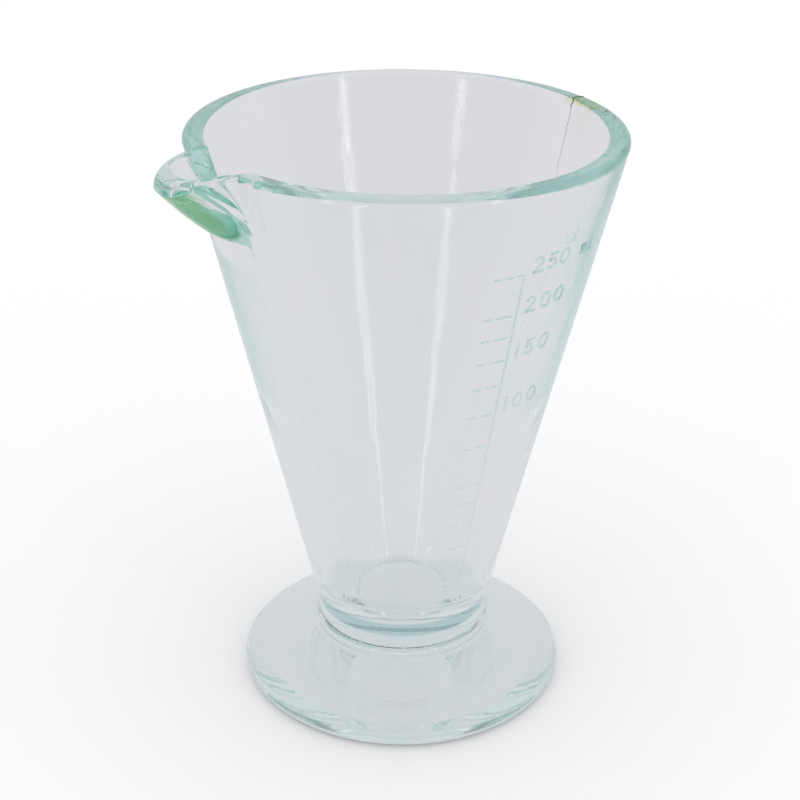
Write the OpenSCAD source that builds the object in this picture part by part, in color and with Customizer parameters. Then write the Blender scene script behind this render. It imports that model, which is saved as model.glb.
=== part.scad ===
// Conical glass graduate: a thick tapered measuring glass with a pouring lip, fused by a wafer
// of glass to a domed foot, with a raised volume scale on its wall. Sizes are in millimetres.
// The origin is the centre of the foot's standing ring, +Z is up, the lip points along -X and
// the scale is on the -Y side.

/* [Bowl] */
// Volume at the top graduation, in millilitres
capacity = 250; // [150:5:400]
// Diameter that the inside cone has at the floor
floor_d = 23.8; // [16:0.2:30]
// Half angle of the inside cone, in degrees
inner_taper = 15.8; // [12:0.1:20]
// Height of the rim above the top graduation
freeboard = 20.8; // [12:0.1:40]
// Thickness of the wall at the rim, measured level
rim_wall = 5; // [3:0.1:7]
// Radius that rounds both edges of the rim
rim_round = 1.6; // [0.4:0.1:2.5]
// Thickness of the glass under the floor
floor_glass = 6.3; // [2:0.1:10]
// Radius between the floor and the inside cone
floor_fillet = 2.2; // [0.5:0.1:5]

/* [Base stub] */
// Diameter of the short straight stub at the foot of the bowl
stub_d = 43.6; // [38:0.2:52]
// Height of the stub
stub_h = 3.2; // [1.5:0.1:6]
// Radius at the lower edge of the stub
stub_round = 0.8; // [0.2:0.1:1.4]

/* [Pouring lip] */
// Reach of the lip past the rim
lip_reach = 12.2; // [6:0.1:16]
// Width of the lip across the rim, and of its channel across the inside wall
lip_width = 24; // [18:0.5:40]
// Height of wall below the rim that the underside of the lip springs from
lip_run = 18; // [16:0.5:32]
// Dip of the pouring edge below the rim
lip_drop = 1.5; // [0:0.25:4]
// Radius of the outer edge at the tip of the lip
lip_nose = 3.5; // [1:0.1:4]
// Thickness of the glass at the tip of the lip, measured level
lip_wall = 5.5; // [4:0.1:9]
// Depth below the rim at which the channel leaves the inside wall
channel_depth = 15; // [10:0.25:16]

/* [Merese] */
// Diameter of the wafer of glass between bowl and foot
merese_d = 45.4; // [40:0.2:54]
// Thickness of the wafer
merese_h = 3; // [1.5:0.1:6]

/* [Foot] */
// Diameter of the foot
foot_d = 83.2; // [70:0.2:110]
// Height of the foot
foot_h = 13; // [8:0.5:20]
// Thickness of the rounded edge of the foot
foot_edge = 4; // [2.5:0.1:6]
// Level ledge of the foot around the wafer
foot_ledge = 0.6; // [0.2:0.1:2]
// Width of the standing ring
ring_w = 5.5; // [2:0.5:9]
// Rise of the hollow under the foot, at its middle
hollow_h = 2.5; // [0.5:0.1:5]

/* [Scale] */
// Angle round the bowl from the lip to the upright line, in degrees
scale_angle = 89.5; // [70:0.5:110]
// Width of the raised lines
line_w = 0.8; // [0.5:0.1:1.6]
// Height of the raised lines above the wall
line_relief = 0.35; // [0.2:0.05:0.5]
// Angle that each graduation spans, in degrees
mark_span = 9.5; // [8:0.5:16]
// Length of the short dash at the outer end of each graduation
dash_l = 2; // [1:0.1:2.5]
// Free space between the dashes of a graduation
dash_gap = 1; // [0.4:0.1:1.2]
// Free space between the upright line and the graduations
line_gap = 0.25; // [0.1:0.05:1]
// Length of upright line below the lowest graduation
line_tail = 3; // [0:0.5:8]
// Space under the raised lines that keeps them clear of the wall
line_seat = 0.02; // [0.01:0.01:0.05]

/* [Hidden] */
$fn = 96;
cubic_mm_per_ml = 1000;

// Graduations as names, for the 250 ml scale, and hundredths of the whole capacity
whole = 100;
MARKS = [
  ["mark_10", 4], ["mark_20", 8], ["mark_30", 12], ["mark_40", 16],
  ["mark_50", 20], ["mark_75", 30], ["mark_100", 40], ["mark_125", 50],
  ["mark_150", 60], ["mark_175", 70], ["mark_200", 80], ["mark_250", whole]
];

// Counts of steps along the rounded stretches, up the lip, across the lip and round the plain rim
arc_steps = 4;
lip_rows = 10;
lip_steps = 36;
plain_steps = 54;

// Heights from the table upward
base_z = foot_h + merese_h;
floor_z = base_z + floor_glass;

// The inside cone is a frustum on the floor, so a volume fixes a level radius and a height
inner_slope = tan(inner_taper);
floor_r = floor_d / 2;
function level_radius(percent) =
  let (volume = capacity * percent / whole * cubic_mm_per_ml)
  pow(pow(floor_r, 3) + 3 * inner_slope * volume / PI, 1 / 3);
function level_z(percent) = floor_z + (level_radius(percent) - floor_r) / inner_slope;
rim_z = level_z(whole) + freeboard;
function inner_r(z) = floor_r + inner_slope * (z - floor_z);

// The outside cone runs from the top of the stub to the rim
stub_r = stub_d / 2;
stub_top = base_z + stub_h;
rim_r = inner_r(rim_z) + rim_wall;
outer_slope = (rim_r - stub_r) / (rim_z - stub_top);
outer_taper = atan(outer_slope);
function outer_r(z) = stub_r + outer_slope * (z - stub_top);

// The lip is a bump in the rim with a channel in it, and both fade out over half their angle on either
// side. Exponents shape them: their plan, the dip of the lip's edge towards the tip, its underside from
// the wall outward and the floor of the channel from the wall outward.
lip_half = asin(lip_width / 2 / rim_r);
channel_half = asin(lip_width / 2 / inner_r(rim_z));
lip_bluntness = 1.6;
lip_dip_bend = 2;
lip_underside_bend = 0.7;
channel_bend = 1.1;
channel_reach = rim_wall + lip_reach - lip_wall;
function swell(offset, half) =
  abs(offset) >= half ? 0 : pow(cos(90 * pow(abs(offset) / half, lip_bluntness)), 2);
function lip_glass(offset) =
  rim_wall + lip_reach * swell(offset, lip_half) - channel_reach * swell(offset, channel_half);

// A rounding is limited by the glass that it rounds: the two edges of the rim take most of its wall,
// where that is thinnest
rounded_share = 0.9;
thinnest_glass = min([for (i = [0:lip_steps]) lip_glass(channel_half * i / lip_steps)]);
rim_arc_r = min(rim_round, rounded_share * thinnest_glass / 2);
nose_arc_r = min(lip_nose, rounded_share * lip_wall - rim_arc_r);
fillet_r = min(floor_fillet, floor_r / 2);

// Colour of the raised lines
relief_colour = [0.55, 0.78, 0.74];

// Points of an arc in the section plane
function arc(middle, radius, start, end, steps = arc_steps) =
  [for (i = [0:steps]) let (a = start + (end - start) * i / steps)
    middle + radius * [cos(a), sin(a)]];

// Floor fillet: tangent to the level floor and to the inside cone
fillet_tangent = fillet_r * tan((90 - inner_taper) / 2);
flat_floor_r = floor_r - fillet_tangent;
fillet_mid = [flat_floor_r, floor_z + fillet_r];

// The wall's half section at one place round the rim, where the shares of the lip and of its channel run
// from 0 to 1. Both chains of points climb from the solid base to the top of the rim.
function outer_chain(share) =
  let (
    crest = rim_z - lip_drop * pow(share, lip_dip_bend),
    spring = rim_z - lip_run,
    edge_r = rim_arc_r + (nose_arc_r - rim_arc_r) * pow(share, lip_dip_bend),
    rise = crest - edge_r - spring,
    edge = [outer_r(spring + rise) + lip_reach * share, spring + rise]
  )
  concat(
    arc([stub_r - stub_round, base_z + stub_round], stub_round, -90, 0),
    [[stub_r, stub_top]],
    [for (i = [0:lip_rows]) let (t = i / lip_rows, z = spring + t * rise)
      [outer_r(z) + lip_reach * share * pow(t, lip_underside_bend), z]],
    [for (i = [1:arc_steps]) edge + edge_r * [cos(90 * i / arc_steps) - 1, sin(90 * i / arc_steps)]]
  );
function inner_chain(share, channel_share) =
  let (
    crest = rim_z - lip_drop * pow(share, lip_dip_bend),
    leave = rim_z - channel_depth,
    rise = crest - rim_arc_r - leave,
    reach = channel_reach * channel_share,
    edge = [inner_r(leave + rise) + reach, leave + rise]
  )
  concat(
    arc(fillet_mid, fillet_r, -90, -inner_taper),
    [for (i = [0:lip_rows]) let (t = i / lip_rows, z = leave + t * rise)
      [inner_r(z) + reach * pow(t, channel_bend), z]],
    [for (i = [1:arc_steps]) edge + rim_arc_r * [1 - cos(90 * i / arc_steps), sin(90 * i / arc_steps)]]
  );
function reversed(list) = [for (i = [len(list) - 1:-1:0]) list[i]];

// Tapered bowl with its solid base, lofted round the axis through sections that swell out into the lip
module bowl() {
  lip_angles = [for (i = [0:lip_steps - 1]) channel_half * (2 * i / lip_steps - 1)];
  plain_angles = [for (i = [0:plain_steps - 1]) channel_half + (360 - 2 * channel_half) * i / plain_steps];
  offsets = concat(lip_angles, plain_angles);
  angles = [for (offset = offsets) 180 + offset];
  sections = [for (offset = offsets) let (share = swell(offset, lip_half))
    concat(outer_chain(share), reversed(inner_chain(share, swell(offset, channel_half))))];
  turns = len(angles);
  size = len(sections[0]);
  wall_points = [for (i = [0:turns - 1]) for (p = sections[i])
    [p[0] * cos(angles[i]), p[0] * sin(angles[i]), p[1]]];
  under = len(wall_points);
  above = under + 1;
  starts = [for (i = [0:turns]) i % turns * size];
  wall_faces = [for (i = [0:turns - 1]) let (here = starts[i], next = starts[i + 1]) for (j = [0:size - 2])
    each [[here + j, next + j + 1, next + j], [here + j, here + j + 1, next + j + 1]]];
  middle_faces = [for (i = [0:turns - 1]) let (here = starts[i], next = starts[i + 1])
    each [[under, here, next], [above, next + size - 1, here + size - 1]]];
  color([0.78, 0.88, 0.87, 0.45])
    polyhedron(
      concat(wall_points, [[0, 0, base_z], [0, 0, floor_z]]),
      concat(wall_faces, middle_faces),
      convexity = 6
    );
}

// Round-edged wafer of glass that joins the bowl to the foot
module merese() {
  edge_r = merese_h / 2;
  color([0.70, 0.85, 0.83, 0.5])
    translate([0, 0, foot_h])
      rotate_extrude()
        union() {
          square([merese_d / 2 - edge_r, merese_h]);
          intersection() {
            translate([merese_d / 2 - edge_r, edge_r])
              circle(edge_r);
            square([merese_d, merese_h]);
          }
        }
}

// Domed foot: a cone with a rounded edge, hollowed underneath so that it stands on a ring
module foot() {
  edge_r = foot_edge / 2;
  edge_mid = [foot_d / 2 - edge_r, edge_r];
  ledge = [merese_d / 2 + foot_ledge, foot_h];
  slope_to_ledge = ledge - edge_mid;
  tangent_angle = atan2(slope_to_ledge[1], slope_to_ledge[0]) - acos(edge_r / norm(slope_to_ledge));
  tangent = edge_mid + edge_r * [cos(tangent_angle), sin(tangent_angle)];
  hollow_r = edge_mid[0] - ring_w;
  sphere_r = (pow(hollow_r, 2) + pow(hollow_h, 2)) / (2 * hollow_h);
  color([0.74, 0.86, 0.85, 0.45])
    rotate_extrude()
      difference() {
        union() {
          polygon([[0, 0], [edge_mid[0], 0], edge_mid, tangent, ledge, [0, foot_h]]);
          translate(edge_mid)
            circle(edge_r);
        }
        translate([0, hollow_h - sphere_r])
          circle(sphere_r);
      }
}

// Rounded cross-section of a raised line, lying on the wall at x = 0
module line_profile() {
  crown_r = (pow(line_w / 2, 2) + pow(line_relief, 2)) / (2 * line_relief);
  intersection() {
    translate([line_relief - crown_r, 0])
      circle(crown_r);
    translate([0, -line_w])
      square([line_relief + line_w, 2 * line_w]);
  }
}

// Upright line of the scale, up the wall from below the lowest graduation to below the top one
module scale_line() {
  low = level_z(MARKS[0][1]) - line_tail;
  high = level_z(whole) - line_w / 2 - line_gap;
  color(relief_colour)
    rotate([0, 0, 180 + scale_angle])
      translate([outer_r(low) + line_seat, 0, low])
        rotate([0, outer_taper, 0])
          linear_extrude((high - low) / cos(outer_taper))
            line_profile();
}

// A raised dash along the wall at one height, between two distances from the upright line
module dash(z, start, end) {
  degrees_per_mm = 180 / PI / outer_r(z);
  rotate([0, 0, 180 + scale_angle + start * degrees_per_mm])
    rotate_extrude(angle = (end - start) * degrees_per_mm)
      translate([outer_r(z) + line_seat, z])
        rotate(-outer_taper)
          line_profile();
}

// One graduation at the level of its volume: a short dash, then a longer one that runs up to the
// upright line. The top graduation lies above that line and is three equal dashes.
module graduation(percent) {
  z = level_z(percent);
  span = mark_span * PI / 180 * outer_r(z);
  clear = line_w / 2 + line_gap;
  third = (span - 2 * dash_gap) / 3;
  color(relief_colour)
    if (percent == whole)
      for (i = [0:2])
        dash(z, i * (third + dash_gap) - span, i * (third + dash_gap) - span + third);
    else {
      dash(z, -clear - span, -clear - span + dash_l);
      dash(z, -clear - span + dash_l + dash_gap, -clear);
    }
}

foot();
merese();
bowl();
scale_line();
for (m = MARKS) graduation(m[1]);
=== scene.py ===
"""Looks of a conical glass graduate: a fused body of pale green glass with a raised, numbered scale."""

import logging
import math
from dataclasses import dataclass, field
from enum import Enum, IntEnum
from typing import Any, Callable, Iterable, Sequence

import bmesh
import bpy
from mathutils import Matrix, Vector


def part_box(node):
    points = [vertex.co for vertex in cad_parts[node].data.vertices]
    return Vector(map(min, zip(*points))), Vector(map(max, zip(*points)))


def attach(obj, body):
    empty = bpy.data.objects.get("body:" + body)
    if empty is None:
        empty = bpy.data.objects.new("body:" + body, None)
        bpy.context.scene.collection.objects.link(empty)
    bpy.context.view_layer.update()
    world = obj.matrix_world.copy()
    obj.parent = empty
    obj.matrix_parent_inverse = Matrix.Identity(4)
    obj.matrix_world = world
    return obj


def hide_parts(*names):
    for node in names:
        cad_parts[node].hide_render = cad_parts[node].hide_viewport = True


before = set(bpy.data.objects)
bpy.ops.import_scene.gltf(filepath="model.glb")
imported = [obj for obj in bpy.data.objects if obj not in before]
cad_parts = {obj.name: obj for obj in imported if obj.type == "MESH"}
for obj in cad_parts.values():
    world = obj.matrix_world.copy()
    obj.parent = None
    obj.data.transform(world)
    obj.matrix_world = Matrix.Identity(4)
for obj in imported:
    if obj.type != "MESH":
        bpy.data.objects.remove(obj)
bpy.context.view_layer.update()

MM = 0.001
BODY = "root"
TOP_MARK = "mark_250"
INNER_TAPER = 15.8
log = logging.getLogger("graduate")

Point = tuple[float, float]
Place = tuple[float, float, float]
Colour = tuple[float, float, float]
Span = tuple[float, float]
Station = tuple[Vector, Vector, float]
Face = Sequence[int]
Piece = bpy.types.Object
Socket = bpy.types.NodeSocket


class Steps(IntEnum):
    """Counts of steps along the round and long stretches of a mesh."""

    ARC = 10
    LIP_ROWS = 26
    WALL_ROWS = 16
    FLOOR_ROWS = 4
    LIP_TURN = 84
    PLAIN_TURN = 240
    LINE_ROWS = 60
    SIGN_BEND = 18
    SIGN_BOWL = 26
    SIGN_RING = 40
    SIGN_ARCH = 12
    SECTION_SIDES = 8
    CRACK_ROWS = 14
    CRACK_SIDES = 6


# Outlines, as lists of points


def bend(middle: Point, reach: Point, start: float, end: float, steps: int) -> list[Point]:
    """Points of an elliptic arc.

    Args:
        middle: Centre of the ellipse.
        reach: Its half width and half height.
        start: Angle of the first point, in degrees.
        end: Angle of the last point, in degrees.
        steps: Number of stretches between points.

    Returns:
        The points from start to end, both included.
    """
    turns = (math.radians(start + (end - start) * i / steps) for i in range(steps + 1))
    return [(middle[0] + reach[0] * math.cos(a), middle[1] + reach[1] * math.sin(a)) for a in turns]


def arc(middle: Point, radius: float, start: float, end: float, steps: int = Steps.ARC) -> list[Point]:
    """Points of a round arc between two angles in degrees."""
    return bend(middle, (radius, radius), start, end, steps)


def bearing(start: Point, end: Point) -> float:
    """Angle in degrees of the way from one point to another."""
    return math.degrees(math.atan2(end[1] - start[1], end[0] - start[0]))


def between(start: Point, end: Point, steps: int) -> list[Point]:
    """Points inside a straight stretch, without its two ends."""
    shares = (i / steps for i in range(1, steps))
    return [(start[0] + (end[0] - start[0]) * t, start[1] + (end[1] - start[1]) * t) for t in shares]


def rounded(before: Point, corner: Point, after: Point, radius: float) -> list[Point]:
    """Arc that rounds a corner between two straight legs.

    Args:
        before: A point on the leg that leads to the corner.
        corner: The sharp corner.
        after: A point on the leg that leaves it.
        radius: Radius of the rounding.

    Returns:
        Points of the arc, from one leg to the other.
    """
    at = Vector(corner)
    to_before = (Vector(before) - at).normalized()
    to_after = (Vector(after) - at).normalized()
    half = to_before.angle(to_after) / 2
    middle = tuple(at + (to_before + to_after).normalized() * radius / math.sin(half))
    touch_in = tuple(at + to_before * radius / math.tan(half))
    touch_out = tuple(at + to_after * radius / math.tan(half))
    start = bearing(middle, touch_in)
    turn = (bearing(middle, touch_out) - start + 180) % 360 - 180
    return arc(middle, radius, start, start + turn)


def circle_between(first: Point, first_r: float, second: Point, second_r: float) -> Point:
    """Centre that lies at two given distances from two centres, on the side away from the axis."""
    way = Vector(second) - Vector(first)
    along = (first_r**2 - second_r**2 + way.length_squared) / (2 * way.length)
    aside = math.sqrt(first_r**2 - along**2)
    ahead = way.normalized()
    outward = Vector((ahead.y, -ahead.x))
    centre = Vector(first) + ahead * along + outward * aside
    return centre.x, centre.y


# Meshes


def make_object(name: str, points: Iterable[Sequence[float]], faces: Iterable[Face]) -> Piece:
    """Makes a smooth mesh object with its faces turned outward.

    Args:
        name: Name of the object.
        points: Places of the vertices, in millimetres.
        faces: Vertex numbers of each face.

    Returns:
        The new object, linked to the scene.
    """
    mesh = bpy.data.meshes.new(name)
    mesh.from_pydata([Vector(p) * MM for p in points], [], list(faces))
    shape = bmesh.new()
    shape.from_mesh(mesh)
    bmesh.ops.recalc_face_normals(shape, faces=shape.faces)
    shape.to_mesh(mesh)
    shape.free()
    mesh.polygons.foreach_set("use_smooth", [True] * len(mesh.polygons))
    mesh.update()
    piece = bpy.data.objects.new(name, mesh)
    bpy.context.scene.collection.objects.link(piece)
    return piece


def ring_faces(rings: int, size: int, closed: bool) -> list[Face]:
    """Skin of a tube through rings of points.

    Args:
        rings: Number of rings.
        size: Number of points in each ring, which is closed on itself.
        closed: True if the last ring is joined to the first.

    Returns:
        Vertex numbers of each face, with a cap on both ends of an open tube.
    """
    faces: list[Face] = []
    for i in range(rings if closed else rings - 1):
        here, there = i * size, (i + 1) % rings * size
        for j in range(size):
            k = (j + 1) % size
            faces.append((here + j, here + k, there + k, there + j))
    if not closed:
        last = (rings - 1) * size
        faces += [tuple(range(size)), tuple(range(last, last + size))]
    return faces


# Shader maths


class Value:
    """A shader socket that takes part in arithmetic, each step of which adds a Math node."""

    def __init__(self, shader: "Shader", socket: Socket) -> None:
        """Keeps the shader and the socket that the value comes from."""
        self.shader = shader
        self.socket = socket

    def _math(self, operation: str, *values: Any) -> "Value":
        """Adds one Math node and returns its result."""
        node = self.shader.node("ShaderNodeMath", {"operation": operation}, dict(enumerate(values)))
        return Value(self.shader, node.outputs[0])

    def __add__(self, other: Any) -> "Value":
        """Sum."""
        return self._math("ADD", self, other)

    def __radd__(self, other: Any) -> "Value":
        """Sum with a number on the left."""
        return self._math("ADD", other, self)

    def __sub__(self, other: Any) -> "Value":
        """Difference."""
        return self._math("SUBTRACT", self, other)

    def __rsub__(self, other: Any) -> "Value":
        """Difference from a number on the left."""
        return self._math("SUBTRACT", other, self)

    def __mul__(self, other: Any) -> "Value":
        """Product."""
        return self._math("MULTIPLY", self, other)

    def __rmul__(self, other: Any) -> "Value":
        """Product with a number on the left."""
        return self._math("MULTIPLY", other, self)

    def __neg__(self) -> "Value":
        """The value with its sign turned."""
        return self._math("MULTIPLY", self, -1.0)

    def __abs__(self) -> "Value":
        """Size without sign."""
        return self._math("ABSOLUTE", self)

    def turn(self, other: Any) -> "Value":
        """Angle of the point (self, other) from the first axis, in degrees."""
        return self._math("ARCTAN2", other, self) * math.degrees(1)

    def root(self) -> "Value":
        """Square root."""
        return self._math("SQRT", self)

    def ramp(self, low: float, high: float) -> "Value":
        """Smooth step from 0 at low to 1 at high, which may be the smaller."""
        sockets = {"Value": self, "From Min": low, "From Max": high}
        node = self.shader.node("ShaderNodeMapRange", {"interpolation_type": "SMOOTHSTEP"}, sockets)
        return Value(self.shader, node.outputs["Result"])


Values = tuple[Value, Value, Value]


@dataclass(frozen=True)
class Grain:
    """A noise: its waves per millimetre along X, Y and Z, and the detail in it."""

    waves: Place
    detail: float = 2.0
    roughness: float = 0.5


class Shader:
    """The node tree of one material or world."""

    def __init__(self, tree: bpy.types.NodeTree) -> None:
        """Empties the tree."""
        self.tree = tree
        tree.nodes.clear()

    def node(
        self, kind: str, settings: dict[str, Any] | None = None, sockets: dict[Any, Any] | None = None
    ) -> bpy.types.Node:
        """Adds a node.

        Args:
            kind: Type of the node.
            settings: Its settings, which are set first.
            sockets: Values or links of its sockets, by name or number.

        Returns:
            The new node.
        """
        node = self.tree.nodes.new(kind)
        for name, value in (settings or {}).items():
            setattr(node, name, value)
        for name, value in (sockets or {}).items():
            socket = node.inputs[name]
            if isinstance(value, Value):
                self.tree.links.new(value.socket, socket)
            elif isinstance(value, Socket):
                self.tree.links.new(value, socket)
            else:
                socket.default_value = value
        return node

    def place(self) -> Values:
        """The shaded point's X, Y and Z in millimetres, in the part's own frame."""
        coords = self.node("ShaderNodeTexCoord").outputs["Object"]
        scaled = self.node("ShaderNodeVectorMath", {"operation": "SCALE"}, {0: coords, "Scale": 1 / MM})
        split = self.node("ShaderNodeSeparateXYZ", None, {0: scaled.outputs[0]})
        return tuple(Value(self, split.outputs[i]) for i in range(3))

    def noise(self, place: Values, grain: Grain) -> Value:
        """Noise from 0 to 1 at a place in millimetres."""
        scaled = {i: at * waves for i, (at, waves) in enumerate(zip(place, grain.waves))}
        point = self.node("ShaderNodeCombineXYZ", None, scaled)
        sockets = {"Vector": point.outputs[0], "Scale": 1.0}
        sockets |= {"Detail": grain.detail, "Roughness": grain.roughness}
        return Value(self, self.node("ShaderNodeTexNoise", None, sockets).outputs[0])

    def near(self, place: Place, size: float) -> Value:
        """Share from 1 at a place in the part's own frame to 0 at a distance from it, in millimetres."""
        coords = self.node("ShaderNodeTexCoord").outputs["Object"]
        middle = tuple(v * MM for v in place)
        away = self.node("ShaderNodeVectorMath", {"operation": "DISTANCE"}, {0: coords, 1: middle})
        return Value(self, away.outputs["Value"]).ramp(size * MM, size * MM / 2)

    def facing_down(self) -> Value:
        """How far the outward normal points down, from -1 to 1, whichever side a ray comes from."""
        geometry = self.node("ShaderNodeNewGeometry").outputs
        split = self.node("ShaderNodeSeparateXYZ", None, {0: geometry["True Normal"]})
        side = 2 * Value(self, geometry["Backfacing"]) - 1
        return side * Value(self, split.outputs[2])

    def entering(self) -> Value:
        """1 where a ray goes into the glass and 0 where it comes out."""
        return 1 - Value(self, self.node("ShaderNodeNewGeometry").outputs["Backfacing"])

    def in_glass(self) -> Value:
        """1 for a ray that a glossy or clear surface sends on, and otherwise 0."""
        rays = self.node("ShaderNodeLightPath").outputs
        return (Value(self, rays["Is Glossy Ray"]) + Value(self, rays["Is Transmission Ray"])).ramp(0, 1)

    def mix(self, share: Any, first: Any, second: Any) -> Socket:
        """Colour between two colours."""
        pick = [c if isinstance(c, Socket) else (*c, 1.0) for c in (first, second)]
        node = self.node("ShaderNodeMix", {"data_type": "RGBA"}, {0: share, 6: pick[0], 7: pick[1]})
        return node.outputs[2]

    def bump(self, height: Value, distance: float, strength: float = 1.0) -> Socket:
        """Normal of a surface whose height, from 0 to 1, stands for a distance in millimetres."""
        sockets = {"Height": height, "Distance": distance * MM, "Strength": strength}
        return self.node("ShaderNodeBump", None, sockets).outputs[0]

    def finish(self, skin: dict[str, Any], depth: Socket | None = None) -> None:
        """Ends a material.

        Args:
            skin: Values or links of the Principled surface, by the name of the socket.
            depth: What fills the piece, if anything does.
        """
        ends = {"Surface": self.node("ShaderNodeBsdfPrincipled", None, skin).outputs[0]}
        if depth is not None:
            ends["Volume"] = depth
        self.node("ShaderNodeOutputMaterial", None, ends)


def new_shader(name: str) -> tuple[bpy.types.Material, Shader]:
    """A new material and its empty node tree."""
    material = bpy.data.materials.new(name)
    material.use_nodes = True
    return material, Shader(material.node_tree)


# Finishes, in millimetres and degrees, with each span from where a mask is 0 to where it is 1


@dataclass(frozen=True)
class Stain:
    """A coloured patch: its bearing, its half width, its height and how grime breaks it up."""

    colour: Colour
    turn: float
    width: Span
    up: Span
    grime: Span


@dataclass(frozen=True)
class GlassFinish:
    """Old pressed soda-lime glass: pale green in its depth, a little wavy, worn where it is handled."""

    tint: Colour = (0.985, 0.99, 0.99)
    streak: Colour = (0.96, 0.98, 0.98)
    streak_grain: Grain = Grain((0.16, 0.16, 0.02), 3.0)
    streak_span: Span = (0.4, 0.75)
    # Painted shade: a darker green on the underside of the lip, where rays enter the glass.
    lip_painted_shade: Colour = (0.22, 0.54, 0.19)
    lip_out: Span = (47, 53)
    lip_up: Span = (126, 130)
    lip_slant: Span = (0.25, 0.4)
    foot_tint: Colour = (0.94, 0.995, 0.985)
    foot_top: Span = (17, 12)
    # Painted shade: a dark teal band round the base of the bowl, standing in for the dark room seen through
    # the thick glass.
    base_painted_shade: Colour = (0.42, 0.64, 0.61)
    base_bottom: Span = (19.3, 19.9)
    base_top: Span = (24.3, 23.3)
    base_out: Span = (17, 18)
    fleck: Colour = (0.30, 0.62, 0.48)
    flecks: tuple[tuple[Place, float], ...] = (
        ((31.1, -40.7, 145.9), 1.3),
        ((33.2, -33.4, 145.2), 1.2),
        ((25.0, -41.2, 146.1), 1.2),
        ((6.6, -48.9, 136.3), 0.4),
    )
    grime_grain: Grain = Grain((0.5, 0.5, 0.3), 4.0, 0.6)
    wall_stain: Stain = Stain((0.97, 0.955, 0.90), -9, (9, 3), (134, 141), (0.3, 0.6))
    rim_stain: Stain = Stain((0.62, 0.72, 0.20), -8, (11, 5), (144.9, 145.7), (0.25, 0.6))
    polished: float = 0.004
    scuff_rough: float = 0.16
    scuff_grain: Grain = Grain((1.3, 1.3, 1.3), 5.0, 0.7)
    scuff_span: Span = (0.52, 0.74)
    scuff_foot: Span = (3.0, 0.2)
    scuff_rim: Span = (144.5, 146)
    scuff_rim_share: float = 0.4
    brush_rough: float = 0.18
    brush_grain: Grain = Grain((2.4, 2.4, 1.2), 2.0, 0.6)
    brush_span: Span = (0.46, 0.58)
    brush_up: Span = (60, 90)
    brush_turn: float = 56
    brush_width: Span = (50, 40)
    inside_span: Span = (8, 6.5)
    wave_grain: Grain = Grain((0.07, 0.07, 0.05), 1.0)
    wave_share: float = 0.75
    peel_grain: Grain = Grain((0.35, 0.35, 0.22), 2.0, 0.6)
    peel_share: float = 0.12
    dimple_grain: Grain = Grain((1.8, 1.8, 1.2), 1.0)
    dimple_share: float = 0.05
    bump_height: float = 0.12
    absorbed: Colour = (0.19, 0.864, 0.72)
    density: float = 1.3
    ior: float = 1.52

    def inside(self, place: Values) -> Value:
        """1 on the inside of the bowl and 0 on the outside."""
        x, y, z = place
        return ((x * x + y * y).root() - math.tan(math.radians(INNER_TAPER)) * z).ramp(*self.inside_span)

    def colour(self, sh: Shader, place: Values) -> Socket:
        """Tint of the skin.

        Args:
            sh: The node tree.
            place: The shaded point.

        Returns:
            The colour, with streaks, painted shade under the lip and round the base, a darker foot, flecks
            and stains.
        """
        x, y, z = place
        colour = sh.mix(sh.noise(place, self.streak_grain).ramp(*self.streak_span), self.tint, self.streak)
        # Painted shade: the underside of the lip is painted a darker green where rays enter it.
        slant = sh.facing_down().ramp(*self.lip_slant)
        lip = (-x).ramp(*self.lip_out) * z.ramp(*self.lip_up) * slant * sh.entering()
        colour = sh.mix(lip, colour, self.lip_painted_shade)
        colour = sh.mix(z.ramp(*self.foot_top), colour, self.foot_tint)
        # Painted shade: a dark teal band round the base, where rays enter, standing in for the dark room
        # seen through the glass.
        out = (x * x + y * y).root().ramp(*self.base_out)
        base = z.ramp(*self.base_bottom) * z.ramp(*self.base_top) * out * sh.entering()
        colour = sh.mix(base, colour, self.base_painted_shade)
        for middle, size in self.flecks:
            colour = sh.mix(sh.near(middle, size), colour, self.fleck)
        grime = sh.noise(place, self.grime_grain)
        for stain in (self.wall_stain, self.rim_stain):
            patch = abs(x.turn(y) - stain.turn).ramp(*stain.width) * z.ramp(*stain.up)
            colour = sh.mix(patch * grime.ramp(*stain.grime), colour, stain.colour)
        return colour

    def roughness(self, sh: Shader, place: Values) -> Value:
        """Polish of the skin, scuffed at the foot and the rim and brushed inside the back wall."""
        x, y, z = place
        scuff = sh.noise(place, self.scuff_grain).ramp(*self.scuff_span)
        handled = z.ramp(*self.scuff_foot) + z.ramp(*self.scuff_rim) * self.scuff_rim_share
        back = abs(x.turn(y) - self.brush_turn).ramp(*self.brush_width)
        brushed = self.inside(place) * z.ramp(*self.brush_up) * back
        grain = sh.noise(place, self.brush_grain).ramp(*self.brush_span)
        return self.polished + self.scuff_rough * scuff * handled + self.brush_rough * brushed * grain

    def normal(self, sh: Shader, place: Values) -> Socket:
        """Slight waves of the skin, with fine dimples inside the bowl."""
        wave = sh.noise(place, self.wave_grain) * self.wave_share
        peel = sh.noise(place, self.peel_grain) * self.peel_share
        dimple = self.inside(place) * sh.noise(place, self.dimple_grain) * self.dimple_share
        return sh.bump(wave + peel + dimple, self.bump_height)

    def material(self) -> bpy.types.Material:
        """Makes the glass, with absorption in its depth."""
        material, sh = new_shader("pressed_glass")
        place = sh.place()
        green = {"Color": (*self.absorbed, 1.0), "Density": self.density}
        depth = sh.node("ShaderNodeVolumeAbsorption", None, green)
        skin = {
            "Base Color": self.colour(sh, place),
            "Roughness": self.roughness(sh, place),
            "IOR": self.ior,
            "Transmission Weight": 1.0,
            "Normal": self.normal(sh, place),
        }
        sh.finish(skin, depth.outputs[0])
        return material


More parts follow.
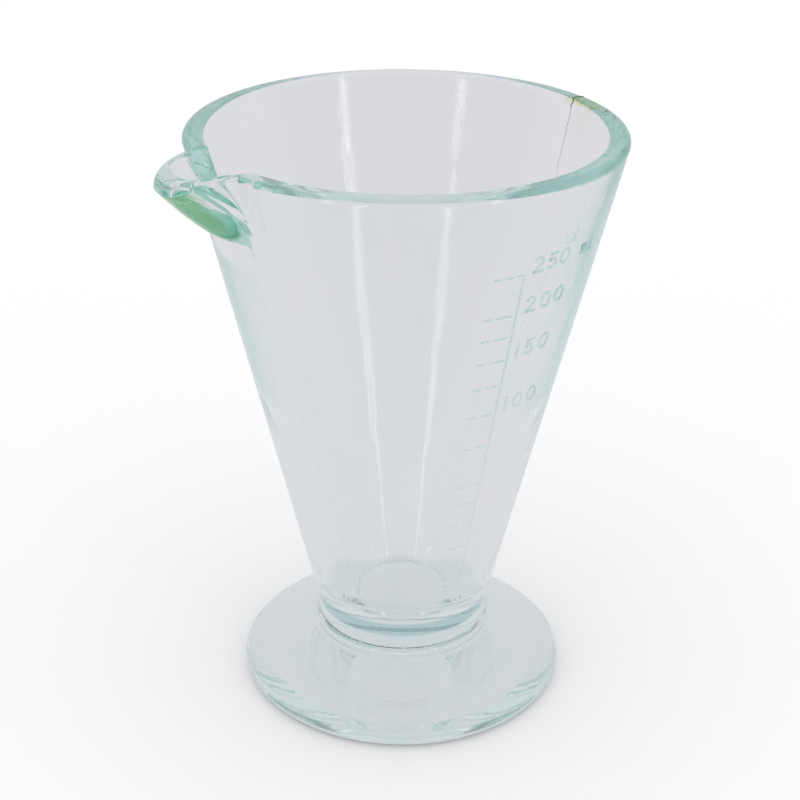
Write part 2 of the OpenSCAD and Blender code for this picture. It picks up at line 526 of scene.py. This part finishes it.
@dataclass(frozen=True)
class ReliefFinish:
    """Raised lines and numbers, with painted shade: a teal tint that stands in for the green their edges
    gather from the wall behind them.
    """

    # Painted shade: teal in place of the darker edges that refraction gives the raised lines.
    strong: Colour = (0.72, 0.90, 0.86)
    faint: Colour = (0.95, 0.985, 0.98)
    ior: float = 1.02
    worn_grain: Grain = Grain((0.7, 0.7, 0.7), 3.0, 0.6)
    worn_span: Span = (0.72, 0.4)
    up: Span = (50, 118)
    low_share: float = 0.1
    polished: float = 0.05
    worn_rough: float = 0.15
    bump_grain: Grain = Grain((2, 2, 2))
    bump_height: float = 0.05
    bump_strength: float = 0.5

    def material(self) -> bpy.types.Material:
        """Makes the material of the raised lines, whose painted shade is stronger high on the wall and
        broken by wear.
        """
        material, sh = new_shader("relief_glass")
        place = sh.place()
        worn = sh.noise(place, self.worn_grain)
        height = place[2].ramp(*self.up)
        share = worn.ramp(*self.worn_span) * (self.low_share + (1 - self.low_share) * height)
        skin = {
            # Painted shade: teal tint of the raised lines.
            "Base Color": sh.mix(share, self.faint, self.strong),
            "Roughness": self.polished + self.worn_rough * worn,
            "IOR": self.ior,
            "Transmission Weight": 1.0,
            "Normal": sh.bump(sh.noise(place, self.bump_grain), self.bump_height, self.bump_strength),
        }
        sh.finish(skin)
        return material


@dataclass(frozen=True)
class CrackFinish:
    """Dirt in a hairline crack: brown down the wall and dark green across the rim."""

    wall_brown: Colour = (0.30, 0.20, 0.10)
    rim_green: Colour = (0.02, 0.14, 0.05)
    rim_up: Span = (142.5, 145)
    speckle_grain: Grain = Grain((3, 3, 1.2), 3.0)
    speckle_span: Span = (0.3, 0.7)
    speckle_share: float = 0.5
    rough: float = 0.5
    speckle_rough: float = 0.4

    def material(self) -> bpy.types.Material:
        """Makes the material of the crack."""
        material, sh = new_shader("crack_dirt")
        place = sh.place()
        speckle = sh.noise(place, self.speckle_grain)
        colour = sh.mix(place[2].ramp(*self.rim_up), self.wall_brown, self.rim_green)
        dark = speckle.ramp(*self.speckle_span) * self.speckle_share
        colour = sh.mix(dark, colour, self.rim_green)
        sh.finish({"Base Color": colour, "Roughness": self.rough + self.speckle_rough * speckle})
        return material


@dataclass(frozen=True)
class SeamFinish:
    """Painted shade in the joint above the wafer: a dark grey thread along one stretch of it, broken up by
    noise.
    """

    groove_shade: Colour = (0.16, 0.24, 0.25)
    start: Span = (-40, 20)
    end: Span = (95, 60)
    grain: Grain = Grain((0.9, 0.9, 0.9))
    grain_span: Span = (0.3, 0.65)
    rough: float = 0.4
    grain_rough: float = 0.4
    thin: float = 0.25

    def material(self) -> bpy.types.Material:
        """Makes the material of the painted shade, which fades out along the joint."""
        material, sh = new_shader("joint_painted_shade")
        place = sh.place()
        turn = (-place[0]).turn(-place[1])
        patchy = turn.ramp(*self.start) * turn.ramp(*self.end)
        grain = sh.noise(place, self.grain).ramp(*self.grain_span)
        skin = {
            # Painted shade: a dark grey thread in the groove of the joint.
            "Base Color": (*self.groove_shade, 1.0),
            "Roughness": self.rough + self.grain_rough * grain,
            "Alpha": patchy * (self.thin + (1 - self.thin) * grain),
        }
        sh.finish(skin)
        return material


# Assemblies


class Assembly:
    """Pieces of one finish, which ride on the part's body and share a material slot."""

    finish: GlassFinish | ReliefFinish | CrackFinish | SeamFinish
    slot: str

    def dress(self, pieces: Iterable[Piece]) -> None:
        """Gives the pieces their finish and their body."""
        material = self.finish.material()
        for piece in pieces:
            piece.data.materials.append(material)
            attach(piece, BODY)


# The glass


@dataclass
class GlassBody(Assembly):
    """The fused glass: foot, wafer and bowl in one skin, with sizes in millimetres."""

    floor_d: float = 23.8
    rim_wall: float = 5.0
    rim_round: float = 1.6
    floor_glass: float = 6.3
    floor_fillet: float = 2.2
    stub_d: float = 43.6
    stub_h: float = 3.2
    stub_round: float = 0.8
    stub_blend: float = 3.0
    lip_reach: float = 12.2
    lip_width: float = 24.0
    lip_run: float = 18.0
    lip_drop: float = 1.5
    lip_nose: float = 3.5
    lip_wall: float = 5.5
    channel_depth: float = 15.0
    lip_bluntness: float = 1.6
    lip_dip_bend: float = 2.0
    lip_underside_bend: float = 0.7
    channel_bend: float = 1.1
    foot_edge: float = 4.0
    foot_ledge: float = 0.6
    ledge_round: float = 3.0
    ring_w: float = 5.5
    ring_round: float = 0.5
    hollow_h: float = 2.5
    groove_round: float = 0.3
    finish: GlassFinish = field(default_factory=GlassFinish)
    slot: str = "bowl_glass"

    def __post_init__(self) -> None:
        """Takes the places of the pieces from the frame and works out the tapers."""
        foot_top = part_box("foot")[1] / MM
        wafer_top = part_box("merese")[1] / MM
        self.foot_r, self.foot_h = foot_top.x, foot_top.z
        self.wafer_r, self.base_z = wafer_top.x, wafer_top.z
        self.rim_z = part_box("bowl")[1].z / MM
        self.floor_z = self.base_z + self.floor_glass
        self.floor_r = self.floor_d / 2
        self.inner_slope = math.tan(math.radians(INNER_TAPER))
        self.stub_r = self.stub_d / 2
        self.stub_top = self.base_z + self.stub_h
        self.rim_r = self.inner_r(self.rim_z) + self.rim_wall
        self.outer_slope = (self.rim_r - self.stub_r) / (self.rim_z - self.stub_top)
        self.outer_taper = math.atan(self.outer_slope)
        self.lip_half = math.degrees(math.asin(self.lip_width / 2 / self.rim_r))
        self.channel_half = math.degrees(math.asin(self.lip_width / 2 / (self.rim_r - self.rim_wall)))

    def inner_r(self, z: float) -> float:
        """Radius of the inside cone at a height."""
        return self.floor_r + self.inner_slope * (z - self.floor_z)

    def outer_r(self, z: float) -> float:
        """Radius of the outside cone at a height."""
        return self.stub_r + self.outer_slope * (z - self.stub_top)

    def crest(self, share: float) -> float:
        """Height of the rim for a share of the lip."""
        return self.rim_z - self.lip_drop * share**self.lip_dip_bend

    def swell(self, offset: float, half: float) -> float:
        """Share of the lip or its channel, from 0 to 1, at an angle in degrees from its middle."""
        if abs(offset) >= half:
            return 0.0
        return math.cos(math.pi / 2 * (abs(offset) / half) ** self.lip_bluntness) ** 2

    def foot_chain(self) -> list[Point]:
        """Outline of the foot, from the hollow under it to the groove below the wafer."""
        edge_r = self.foot_edge / 2
        edge_mid = (self.foot_r - edge_r, edge_r)
        ledge = (self.wafer_r + self.foot_ledge, self.foot_h)
        way = Vector(ledge) - Vector(edge_mid)
        touch = bearing(edge_mid, ledge) - math.degrees(math.acos(edge_r / way.length))
        hollow_r = edge_mid[0] - self.ring_w
        dome_r = (hollow_r**2 + self.hollow_h**2) / (2 * self.hollow_h)
        steps = 2 * Steps.ARC
        radii = [hollow_r * i / steps for i in range(1, steps)]
        hollow = [(r, self.hollow_h - dome_r + math.sqrt(dome_r**2 - r**2)) for r in radii]
        edge = arc(edge_mid, edge_r, -90, touch)
        inner_edge = rounded(hollow[-1], (hollow_r, 0.0), edge[0], self.ring_round)
        slope = between(edge[-1], ledge, Steps.ARC)[:-1]
        shoulder = rounded(slope[-1], ledge, (self.wafer_r, self.foot_h), self.ledge_round)
        return hollow + inner_edge + edge + slope + shoulder

    def wafer_chain(self) -> list[Point]:
        """Outline of the wafer's round edge and of the grooves that join it to the foot and the bowl."""
        edge_r = (self.base_z - self.foot_h) / 2
        groove_r = self.groove_round
        middle = (self.wafer_r - edge_r, self.foot_h + edge_r)
        reach = math.sqrt((edge_r + groove_r) ** 2 - (edge_r - groove_r) ** 2)
        low = (middle[0] + reach, self.foot_h + groove_r)
        stub_mid = (self.stub_r - self.stub_round, self.base_z + self.stub_round)
        high = circle_between(middle, edge_r + groove_r, stub_mid, self.stub_round + groove_r)
        low_touch = bearing(low, middle)
        high_touch = bearing(middle, high)
        stub_touch = bearing(stub_mid, high)
        return (
            arc(low, groove_r, -90, low_touch - 360)
            + arc(middle, edge_r, low_touch - 180, high_touch)[1:]
            + arc(high, groove_r, high_touch + 180, stub_touch + 180)[1:]
            + arc(stub_mid, self.stub_round, stub_touch, 0)[1:]
        )

    @staticmethod
    def flank(
        cone: Callable[[float], float], low: float, rise: float, reach: float, power: float
    ) -> list[Point]:
        """Rows of points up a wall that leaves its cone.

        Args:
            cone: Radius of the cone at a height.
            low: Height at which the wall leaves it.
            rise: Height of the rows.
            reach: Distance from the cone at the top.
            power: Power by which the distance grows with the height.

        Returns:
            The points, from the bottom to the top.
        """
        shares = [i / Steps.LIP_ROWS for i in range(Steps.LIP_ROWS + 1)]
        return [(cone(low + t * rise) + reach * t**power, low + t * rise) for t in shares]

    def outer_chain(self, share: float) -> list[Point]:
        """Outside of the bowl from the stub to the top of the rim, for a share of the lip."""
        spring = self.rim_z - self.lip_run
        edge_r = self.rim_round + (self.lip_nose - self.rim_round) * share**self.lip_dip_bend
        rise = self.crest(share) - edge_r - spring
        foot_of_stub = (self.stub_r, self.base_z + self.stub_round)
        start = (self.outer_r(spring), spring)
        blend = rounded(foot_of_stub, (self.stub_r, self.stub_top), start, self.stub_blend)
        rows = self.flank(self.outer_r, spring, rise, self.lip_reach * share, self.lip_underside_bend)
        edge = arc((rows[-1][0] - edge_r, rows[-1][1]), edge_r, 0, 90)[1:]
        return blend + between(blend[-1], start, Steps.WALL_ROWS) + rows + edge

    def inner_chain(self, share: float, channel: float) -> list[Point]:
        """Inside of the bowl from the floor to the top of the rim, for shares of lip and channel."""
        leave = self.rim_z - self.channel_depth
        rise = self.crest(share) - self.rim_round - leave
        reach = (self.rim_wall + self.lip_reach - self.lip_wall) * channel
        flat_r = self.floor_r - self.floor_fillet * math.tan(math.radians(90 - INNER_TAPER) / 2)
        fillet = arc((flat_r, self.floor_z + self.floor_fillet), self.floor_fillet, -90, -INNER_TAPER)
        floor = between((0.0, self.floor_z), fillet[0], Steps.FLOOR_ROWS)
        wall = between(fillet[-1], (self.inner_r(leave), leave), Steps.WALL_ROWS)
        rows = self.flank(self.inner_r, leave, rise, reach, self.channel_bend)
        edge = arc((rows[-1][0] + self.rim_round, rows[-1][1]), self.rim_round, 180, 90)[1:]
        return floor + fillet + wall + rows + edge

    def build(self) -> list[Piece]:
        """Lofts the section round the axis.

        Returns:
            The closed glass body.
        """
        half = self.channel_half
        across = [half * (2 * i / Steps.LIP_TURN - 1) for i in range(Steps.LIP_TURN)]
        rest = [half + (360 - 2 * half) * i / Steps.PLAIN_TURN for i in range(Steps.PLAIN_TURN)]
        base = self.foot_chain() + self.wafer_chain()
        points, size = [], 0
        for offset in across + rest:
            aside = offset if offset <= 180 else offset - 360
            share, channel = self.swell(aside, self.lip_half), self.swell(aside, self.channel_half)
            section = base + self.outer_chain(share) + self.inner_chain(share, channel)[::-1]
            size = len(section)
            turn = math.radians(180 + offset)
            points += [(r * math.cos(turn), r * math.sin(turn), z) for r, z in section]
        turns = len(across) + len(rest)
        faces = []
        under, above = len(points), len(points) + 1
        for i in range(turns):
            here, there = i * size, (i + 1) % turns * size
            faces += [(here + j, here + j + 1, there + j + 1, there + j) for j in range(size - 1)]
            faces += [(under, here, there), (above, there + size - 1, here + size - 1)]
        points += [(0.0, 0.0, self.hollow_h), (0.0, 0.0, self.floor_z)]
        body = make_object("glass_body", points, faces)
        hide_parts("bowl", "merese", "foot")
        return [body]


# The scale


class Stroke:
    """A path of a raised line, in millimetres across and up the wall."""

    def __init__(self, points: Sequence[Point], closed: bool = False) -> None:
        """Keeps the points, and whether the last is joined to the first."""
        self.points = [Vector(p) for p in points]
        self.closed = closed

    def placed(self, scale: float, shift: Point) -> "Stroke":
        """The stroke made larger and moved."""
        return Stroke([p * scale + Vector(shift) for p in self.points], self.closed)

    def heading(self, i: int) -> Vector:
        """Direction of the path at one of its points."""
        last = len(self.points) - 1
        if self.closed:
            ahead, behind = self.points[(i + 1) % (last + 1)], self.points[i - 1]
        else:
            ahead, behind = self.points[min(i + 1, last)], self.points[max(i - 1, 0)]
        return (ahead - behind).normalized()


class Glyph(Enum):
    """Strokes of each sign, in a box one unit high."""

    ZERO = "0"
    ONE = "1"
    TWO = "2"
    FIVE = "5"
    M = "m"
    L = "l"

    def strokes(self) -> list[Stroke]:
        """The sign's strokes."""
        match self:
            case Glyph.ZERO:
                ring = bend((0.4, 0.5), (0.33, 0.46), 90, 450, Steps.SIGN_RING)
                return [Stroke(ring[:-1], True)]
            case Glyph.ONE:
                return [Stroke([(0.12, 0.04), (0.135, 0.35), (0.15, 0.65), (0.165, 0.96)])]
            case Glyph.TWO:
                hook = bend((0.36, 0.69), (0.28, 0.27), 160, -35, Steps.SIGN_BEND)
                foot = Stroke([(0.12, 0.05), (0.4, 0.05), (0.7, 0.05)])
                return [Stroke(hook + [(0.36, 0.32), (0.12, 0.08)]), foot]
            case Glyph.FIVE:
                bowl = bend((0.36, 0.34), (0.3, 0.29), 140, -140, Steps.SIGN_BOWL)
                flag = Stroke([(0.66, 0.95), (0.4, 0.95), (0.2, 0.95)])
                return [flag, Stroke([(0.19, 0.92), (0.15, 0.7)] + bowl)]
            case Glyph.M:
                legs = [Stroke([(0.14, 0.62), (0.14, 0.3), (0.14, 0.04)])]
                for middle, end in ((0.3, 0.46), (0.62, 0.78)):
                    arch = bend((middle, 0.42), (0.16, 0.2), 180, 0, Steps.SIGN_ARCH)
                    legs.append(Stroke(arch + [(end, 0.22), (end, 0.04)]))
                return legs
            case Glyph.L:
                return [Stroke([(0.12, 0.04), (0.12, 0.35), (0.12, 0.65), (0.12, 0.96)])]


@dataclass
class Scale(Assembly):
    """The raised scale on the wall: an upright line, graduations and numbers, in millimetres."""

    glass: GlassBody
    scale_angle: float = 89.5
    line_w: float = 0.8
    spine_w: float = 0.55
    tick_w: float = 0.5
    line_h: float = 0.35
    seat: float = 0.02
    tick_step: float = 0.4
    dash: float = 2.0
    dash_gap: float = 1.0
    line_gap: float = 0.25
    mark_span: float = 9.5
    sign_h: float = 4.1
    sign_w: float = 0.7
    sign_drop: float = 0.2
    first_sign: float = 2.0
    narrow: float = 0.56
    numbers: tuple[tuple[str, float], ...] = (("250", 4.1), ("200", 4.6), ("150", 4.8), ("100", 4.8))
    unit: str = "ml"
    unit_start: float = 17.9
    unit_pitch: float = 4.2
    tip_turns: tuple[float, ...] = (25, 50, 70, 84)
    finish: ReliefFinish = field(default_factory=ReliefFinish)
    slot: str = "relief_glass"

    def on_wall(self, across: float, z: float, lift: float) -> Place:
        """Place on the outside of the wall.

        Args:
            across: Distance round the wall from the upright line.
            z: Height.
            lift: Distance off the wall.

        Returns:
            The place in the part's frame.
        """
        taper = self.glass.outer_taper
        radius = self.glass.outer_r(z)
        turn = math.radians(180 + self.scale_angle) + across / radius
        reach = radius + lift * math.cos(taper)
        return reach * math.cos(turn), reach * math.sin(turn), z - lift * math.sin(taper)

    def relief(self, name: str, strokes: Iterable[Stroke], z: float, width: float) -> Piece:
        """Sweeps a half-round section along strokes on the wall.

        Args:
            name: Name of the piece.
            strokes: Paths in millimetres from the upright line and from the height z.
            z: Height of the strokes' zero.
            width: Width of the raised line.

        Returns:
            The piece, one closed skin for each stroke.
        """
        points: list[Place] = []
        faces: list[Face] = []
        turns = [math.pi * k / Steps.SECTION_SIDES for k in range(Steps.SECTION_SIDES + 1)]
        rise = math.cos(self.glass.outer_taper)
        for stroke in strokes:
            first = len(points)
            stations = self.stations(stroke, width)
            for place, ahead, full in stations:
                aside = Vector((-ahead.y, ahead.x)) * (width / 2 * full)
                for turn in turns:
                    at = place + aside * math.cos(turn)
                    lift = self.seat + self.line_h * full * math.sin(turn)
                    points.append(self.on_wall(at.x, z + at.y * rise, lift))
            skin = ring_faces(len(stations), len(turns), stroke.closed)
            faces += [tuple(first + v for v in face) for face in skin]
        return make_object(name, points, faces)

    def stations(self, stroke: Stroke, width: float) -> list[Station]:
        """Places along a stroke, with the heading and the share of the full section at each.

        Args:
            stroke: The path.
            width: Width of the raised line.

        Returns:
            The stations, with rounded tips added to both ends of an open stroke.
        """
        along = [(p, stroke.heading(i), 1.0) for i, p in enumerate(stroke.points)]
        if stroke.closed:
            return along
        tips = [math.radians(a) for a in self.tip_turns]
        (start, way_in, _), (end, way_out, _) = along[0], along[-1]
        front = [(start - way_in * width / 2 * math.sin(a), way_in, math.cos(a)) for a in reversed(tips)]
        back = [(end + way_out * width / 2 * math.sin(a), way_out, math.cos(a)) for a in tips]
        return front + along + back

    def level(self, node: str) -> float:
        """Height of a graduation, the middle of its node's box."""
        low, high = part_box(node)
        return (low.z + high.z) / 2 / MM

    def straight(self, start: float, end: float) -> Stroke:
        """A level stroke between two distances from the upright line."""
        count = max(2, round(abs(end - start) / self.tick_step))
        return Stroke([(start + (end - start) * i / count, 0.0) for i in range(count + 1)])

    def build_line(self) -> Piece:
        """Raises the upright line."""
        low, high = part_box("scale_line")
        span = (high.z - low.z) / MM / math.cos(self.glass.outer_taper)
        path = Stroke([(0.0, span * i / Steps.LINE_ROWS) for i in range(Steps.LINE_ROWS + 1)])
        piece = self.relief("scale_line_relief", [path], low.z / MM, self.spine_w)
        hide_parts("scale_line")
        return piece

    def build_mark(self, node: str) -> Piece:
        """Raises one graduation: a short dash and a longer one, or three equal dashes at the top."""
        z = self.level(node)
        span = math.radians(self.mark_span) * self.glass.outer_r(z)
        clear = self.line_w / 2 + self.line_gap
        if node == TOP_MARK:
            third = (span - 2 * self.dash_gap) / 3
            starts = [i * (third + self.dash_gap) - span for i in range(3)]
            dashes = [(start, start + third) for start in starts]
        else:
            split = self.dash - clear - span
            dashes = [(-clear - span, split), (split + self.dash_gap, -clear)]
        tip = self.tick_w / 2
        strokes = [self.straight(start + tip, end - tip) for start, end in dashes]
        piece = self.relief(f"{node}_relief", strokes, z, self.tick_w)
        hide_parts(node)
        return piece

    def build_signs(self, text: str, node: str, start: float, pitch: float, name: str) -> Piece:
        """Raises a row of signs beside a graduation.

        Args:
            text: The signs.
            node: The graduation that they stand beside.
            start: Distance of the first sign from the upright line.
            pitch: Distance from one sign to the next.
            name: Name of the piece.

        Returns:
            The piece.
        """
        strokes = []
        across = start
        for sign in map(Glyph, text):
            strokes += [s.placed(self.sign_h, (across, -self.sign_drop)) for s in sign.strokes()]
            across += pitch * (self.narrow if sign is Glyph.ONE else 1)
        return self.relief(name, strokes, self.level(node), self.sign_w)

    def build(self) -> list[Piece]:
        """Raises the line, the graduations, the numbers and the unit.

        Returns:
            All the pieces.
        """
        marks = sorted(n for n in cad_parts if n.startswith("mark_"))
        pieces = [self.build_line()] + [self.build_mark(n) for n in marks]
        for text, pitch in self.numbers:
            pieces.append(self.build_signs(text, f"mark_{text}", self.first_sign, pitch, f"number_{text}"))
        unit = self.build_signs(self.unit, TOP_MARK, self.unit_start, self.unit_pitch, f"unit_{self.unit}")
        return pieces + [unit]


# Wear, and painted shade in the joint


@dataclass
class Crack(Assembly):
    """A hairline crack across the rim and down the inside of the wall, in millimetres and degrees."""

    glass: GlassBody
    top_turn: float = -1.2
    bottom_turn: float = -5.0
    bottom_z: float = 128.8
    rim_thickness: float = 0.15
    rim_sway: float = 0.5
    rim_wave: float = 0.7
    thickness: float = 0.13
    thinning: float = 0.7
    wall_sway: float = 0.12
    wall_wave: float = 1.7
    sunk: float = 0.2
    finish: CrackFinish = field(default_factory=CrackFinish)
    slot: str = "bowl_glass"

    def path(self) -> list[tuple[Vector, float]]:
        """Points along the crack, with its thickness at each.

        Returns:
            The points, half sunk across the rim and just inside the glass down the wall.
        """
        inner = self.glass.inner_chain(0.0, 0.0)
        outer = self.glass.outer_chain(0.0)
        rim = outer[-Steps.ARC :] + inner[::-1][: Steps.ARC]
        foot = (self.glass.inner_r(self.bottom_z), self.bottom_z)
        section = [Vector(p) for p in rim + between(rim[-1], foot, Steps.CRACK_ROWS) + [foot]]
        count = len(section)
        stations = []
        for i, at in enumerate(section):
            turn = self.top_turn + (self.bottom_turn - self.top_turn) * (i / (count - 1))
            if i < len(rim):
                turn += self.rim_sway * math.sin(self.rim_wave * i)
                full = self.rim_thickness
            else:
                turn += self.wall_sway * math.sin(self.wall_wave * i)
                full = self.thickness * (1 - self.thinning * i / count)
                at = at + Vector((self.sunk, 0.0))
            angle = math.radians(turn)
            stations.append((Vector((at.x * math.cos(angle), at.x * math.sin(angle), at.y)), full))
        return stations

    def build(self) -> list[Piece]:
        """Makes the crack as a thin thread of dirt that tapers to its lower end.

        Returns:
            The piece.
        """
        path = self.path()
        last = len(path) - 1
        points = []
        for i, (at, full) in enumerate(path):
            ahead = (path[min(i + 1, last)][0] - path[max(i - 1, 0)][0]).normalized()
            aside = ahead.cross(Vector((0, 0, 1))).normalized()
            above = aside.cross(ahead)
            for k in range(Steps.CRACK_SIDES):
                turn = 2 * math.pi * k / Steps.CRACK_SIDES
                points.append(at + (aside * math.cos(turn) + above * math.sin(turn)) * full)
        return [make_object("rim_crack", points, ring_faces(len(path), Steps.CRACK_SIDES, False))]


@dataclass
class Seam(Assembly):
    """The thread of painted shade in the joint above the wafer, in millimetres."""

    glass: GlassBody
    thickness: float = 0.12
    inset: float = 0.12
    finish: SeamFinish = field(default_factory=SeamFinish)
    slot: str = "foot_glass"

    def build(self) -> list[Piece]:
        """Lays the thread round the joint, in the groove.

        Returns:
            The piece.
        """
        turns, sides = Steps.PLAIN_TURN, Steps.SECTION_SIDES
        middle = (self.glass.stub_r + self.inset, self.glass.base_z)
        section = arc(middle, self.thickness, 0, 360, sides)[:-1]
        points = []
        for i in range(turns):
            turn = 2 * math.pi * i / turns
            points += [(r * math.cos(turn), r * math.sin(turn), z) for r, z in section]
        return [make_object("joint_painted_shade", points, ring_faces(turns, sides, True))]


# The studio


@dataclass(frozen=True)
class Strip:
    """A tall soft light that the inside of the back wall reflects, in millimetres and degrees."""

    name: str
    bearing: float
    away: float = 300.0
    width: float = 24.0
    height: float = 240.0
    middle_z: float = 121.0
    power: float = 0.042

    def build(self) -> None:
        """Hangs the light, turned to the axis of the glass."""
        data = bpy.data.lights.new(self.name, "AREA")
        data.shape = "RECTANGLE"
        data.size = self.width * MM
        data.size_y = self.height * MM
        data.energy = self.power
        light = bpy.data.objects.new(self.name, data)
        turn = math.radians(self.bearing)
        place = Vector((self.away * math.cos(turn), self.away * math.sin(turn), self.middle_z))
        light.location = place * MM
        light.rotation_euler = (math.radians(90), 0, turn + math.radians(90))
        bpy.context.scene.collection.objects.link(light)


@dataclass
class Studio:
    """Floor, backdrop, lights and camera, in millimetres and degrees."""

    camera_reach: float = 361.78
    camera_height: float = 255.18
    camera_bearing: float = 33.5
    pitch: float = 26.403
    yaw: float = -0.1526
    roll: float = 0.497
    lens: float = 72.673
    sensor: float = 36.0
    floor_half: float = 3000.0
    floor_drop: float = 0.3
    white: Colour = (1.0, 1.0, 1.0)
    through_glass: Colour = (0.705, 0.70, 0.735)
    room_colour: Colour = (0.36, 0.38, 0.40)
    room_edge: Span = (-0.1, 0.4)
    floor_through: Colour = (0.735, 0.73, 0.765)
    shadow_through: float = 0.12
    bounces: int = 200
    strips: tuple[Strip, ...] = (Strip("strip_right", 277.5), Strip("strip_left", 202.0))

    def background(self, sh: Shader) -> Socket:
        """Colour of the surroundings.

        Args:
            sh: The node tree.

        Returns:
            White, and in glass and gloss a pale backdrop that is dimmer towards the front of the room.
        """
        turn = math.radians(-90 - self.camera_bearing)
        front = (math.cos(turn), math.sin(turn), 0.0)
        way = sh.node("ShaderNodeTexCoord").outputs["Generated"]
        facing = sh.node("ShaderNodeVectorMath", {"operation": "DOT_PRODUCT"}, {0: way, 1: front})
        room = Value(sh, facing.outputs["Value"]).ramp(*self.room_edge)
        through = sh.mix(room, self.through_glass, self.room_colour)
        camera = Value(sh, sh.node("ShaderNodeLightPath").outputs["Is Camera Ray"])
        return sh.mix(camera, sh.mix(sh.in_glass(), self.white, through), self.white)

    def set_paths(self) -> None:
        """Lets light pass through many walls of glass."""
        paths = bpy.context.scene.cycles
        paths.max_bounces = paths.transmission_bounces = paths.glossy_bounces = self.bounces

    def build_world(self) -> None:
        """Lights the scene evenly from all round."""
        world = bpy.data.worlds.new("studio")
        bpy.context.scene.world = world
        world.use_nodes = True
        sh = Shader(world.node_tree)
        back = sh.node("ShaderNodeBackground", None, {"Color": self.background(sh), "Strength": 1.0})
        sh.node("ShaderNodeOutputWorld", None, {"Surface": back.outputs[0]})

    def build_floor(self) -> None:
        """Lays the plain pale floor, whose shadow is faint when it is seen through the glass."""
        half, z = self.floor_half, -self.floor_drop
        corners = [(-half, -half, z), (half, -half, z), (half, half, z), (-half, half, z)]
        floor = make_object("floor", corners, [(0, 1, 2, 3)])
        material, sh = new_shader("pale_floor")
        seen = sh.in_glass()
        colour = sh.mix(seen, self.white, self.floor_through)
        matt = sh.node("ShaderNodeBsdfDiffuse", None, {"Color": colour})
        shown = sh.node("ShaderNodeEmission", None, {"Color": (*self.floor_through, 1.0), "Strength": 1.0})
        glow = seen * (1 - self.shadow_through)
        both = sh.node("ShaderNodeMixShader", None, {0: glow, 1: matt.outputs[0], 2: shown.outputs[0]})
        sh.node("ShaderNodeOutputMaterial", None, {"Surface": both.outputs[0]})
        floor.data.materials.append(material)

    def build_camera(self) -> None:
        """Sets the camera where the photograph was taken from."""
        data = bpy.data.cameras.new("camera")
        data.sensor_width = self.sensor
        data.lens = self.lens
        camera = bpy.data.objects.new("camera", data)
        pitch, yaw, roll = (math.radians(a) for a in (self.pitch, self.yaw, self.roll))
        ahead = Vector((math.sin(yaw) * math.cos(pitch), math.cos(yaw) * math.cos(pitch), -math.sin(pitch)))
        right = Vector((math.cos(yaw), -math.sin(yaw), 0.0))
        above = right.cross(ahead)
        right, above = (
            right * math.cos(roll) + above * math.sin(roll),
            above * math.cos(roll) - right * math.sin(roll),
        )
        axes = Matrix((right, above, -ahead)).transposed().to_4x4()
        stand = Matrix.Translation(Vector((0.0, -self.camera_reach, self.camera_height)) * MM)
        camera.matrix_world = Matrix.Rotation(math.radians(-self.camera_bearing), 4, "Z") @ stand @ axes
        bpy.context.scene.collection.objects.link(camera)
        bpy.context.scene.camera = camera

    def build(self) -> None:
        """Builds the whole studio."""
        bpy.context.scene.view_settings.view_transform = "Standard"
        self.set_paths()
        self.build_world()
        self.build_floor()
        self.build_camera()
        for strip in self.strips:
            strip.build()


def main() -> None:
    """Builds the studio, the glass, its scale, its wear and the painted shade in its joint, and reports
    each piece.
    """
    logging.basicConfig(level=logging.INFO, format="%(message)s")
    Studio().build()
    glass = GlassBody()
    for assembly in (glass, Scale(glass), Crack(glass), Seam(glass)):
        pieces = assembly.build()
        assembly.dress(pieces)
        for piece in pieces:
            log.info("%s: %d faces", piece.name, len(piece.data.polygons))


if __name__ == "__main__":
    main()
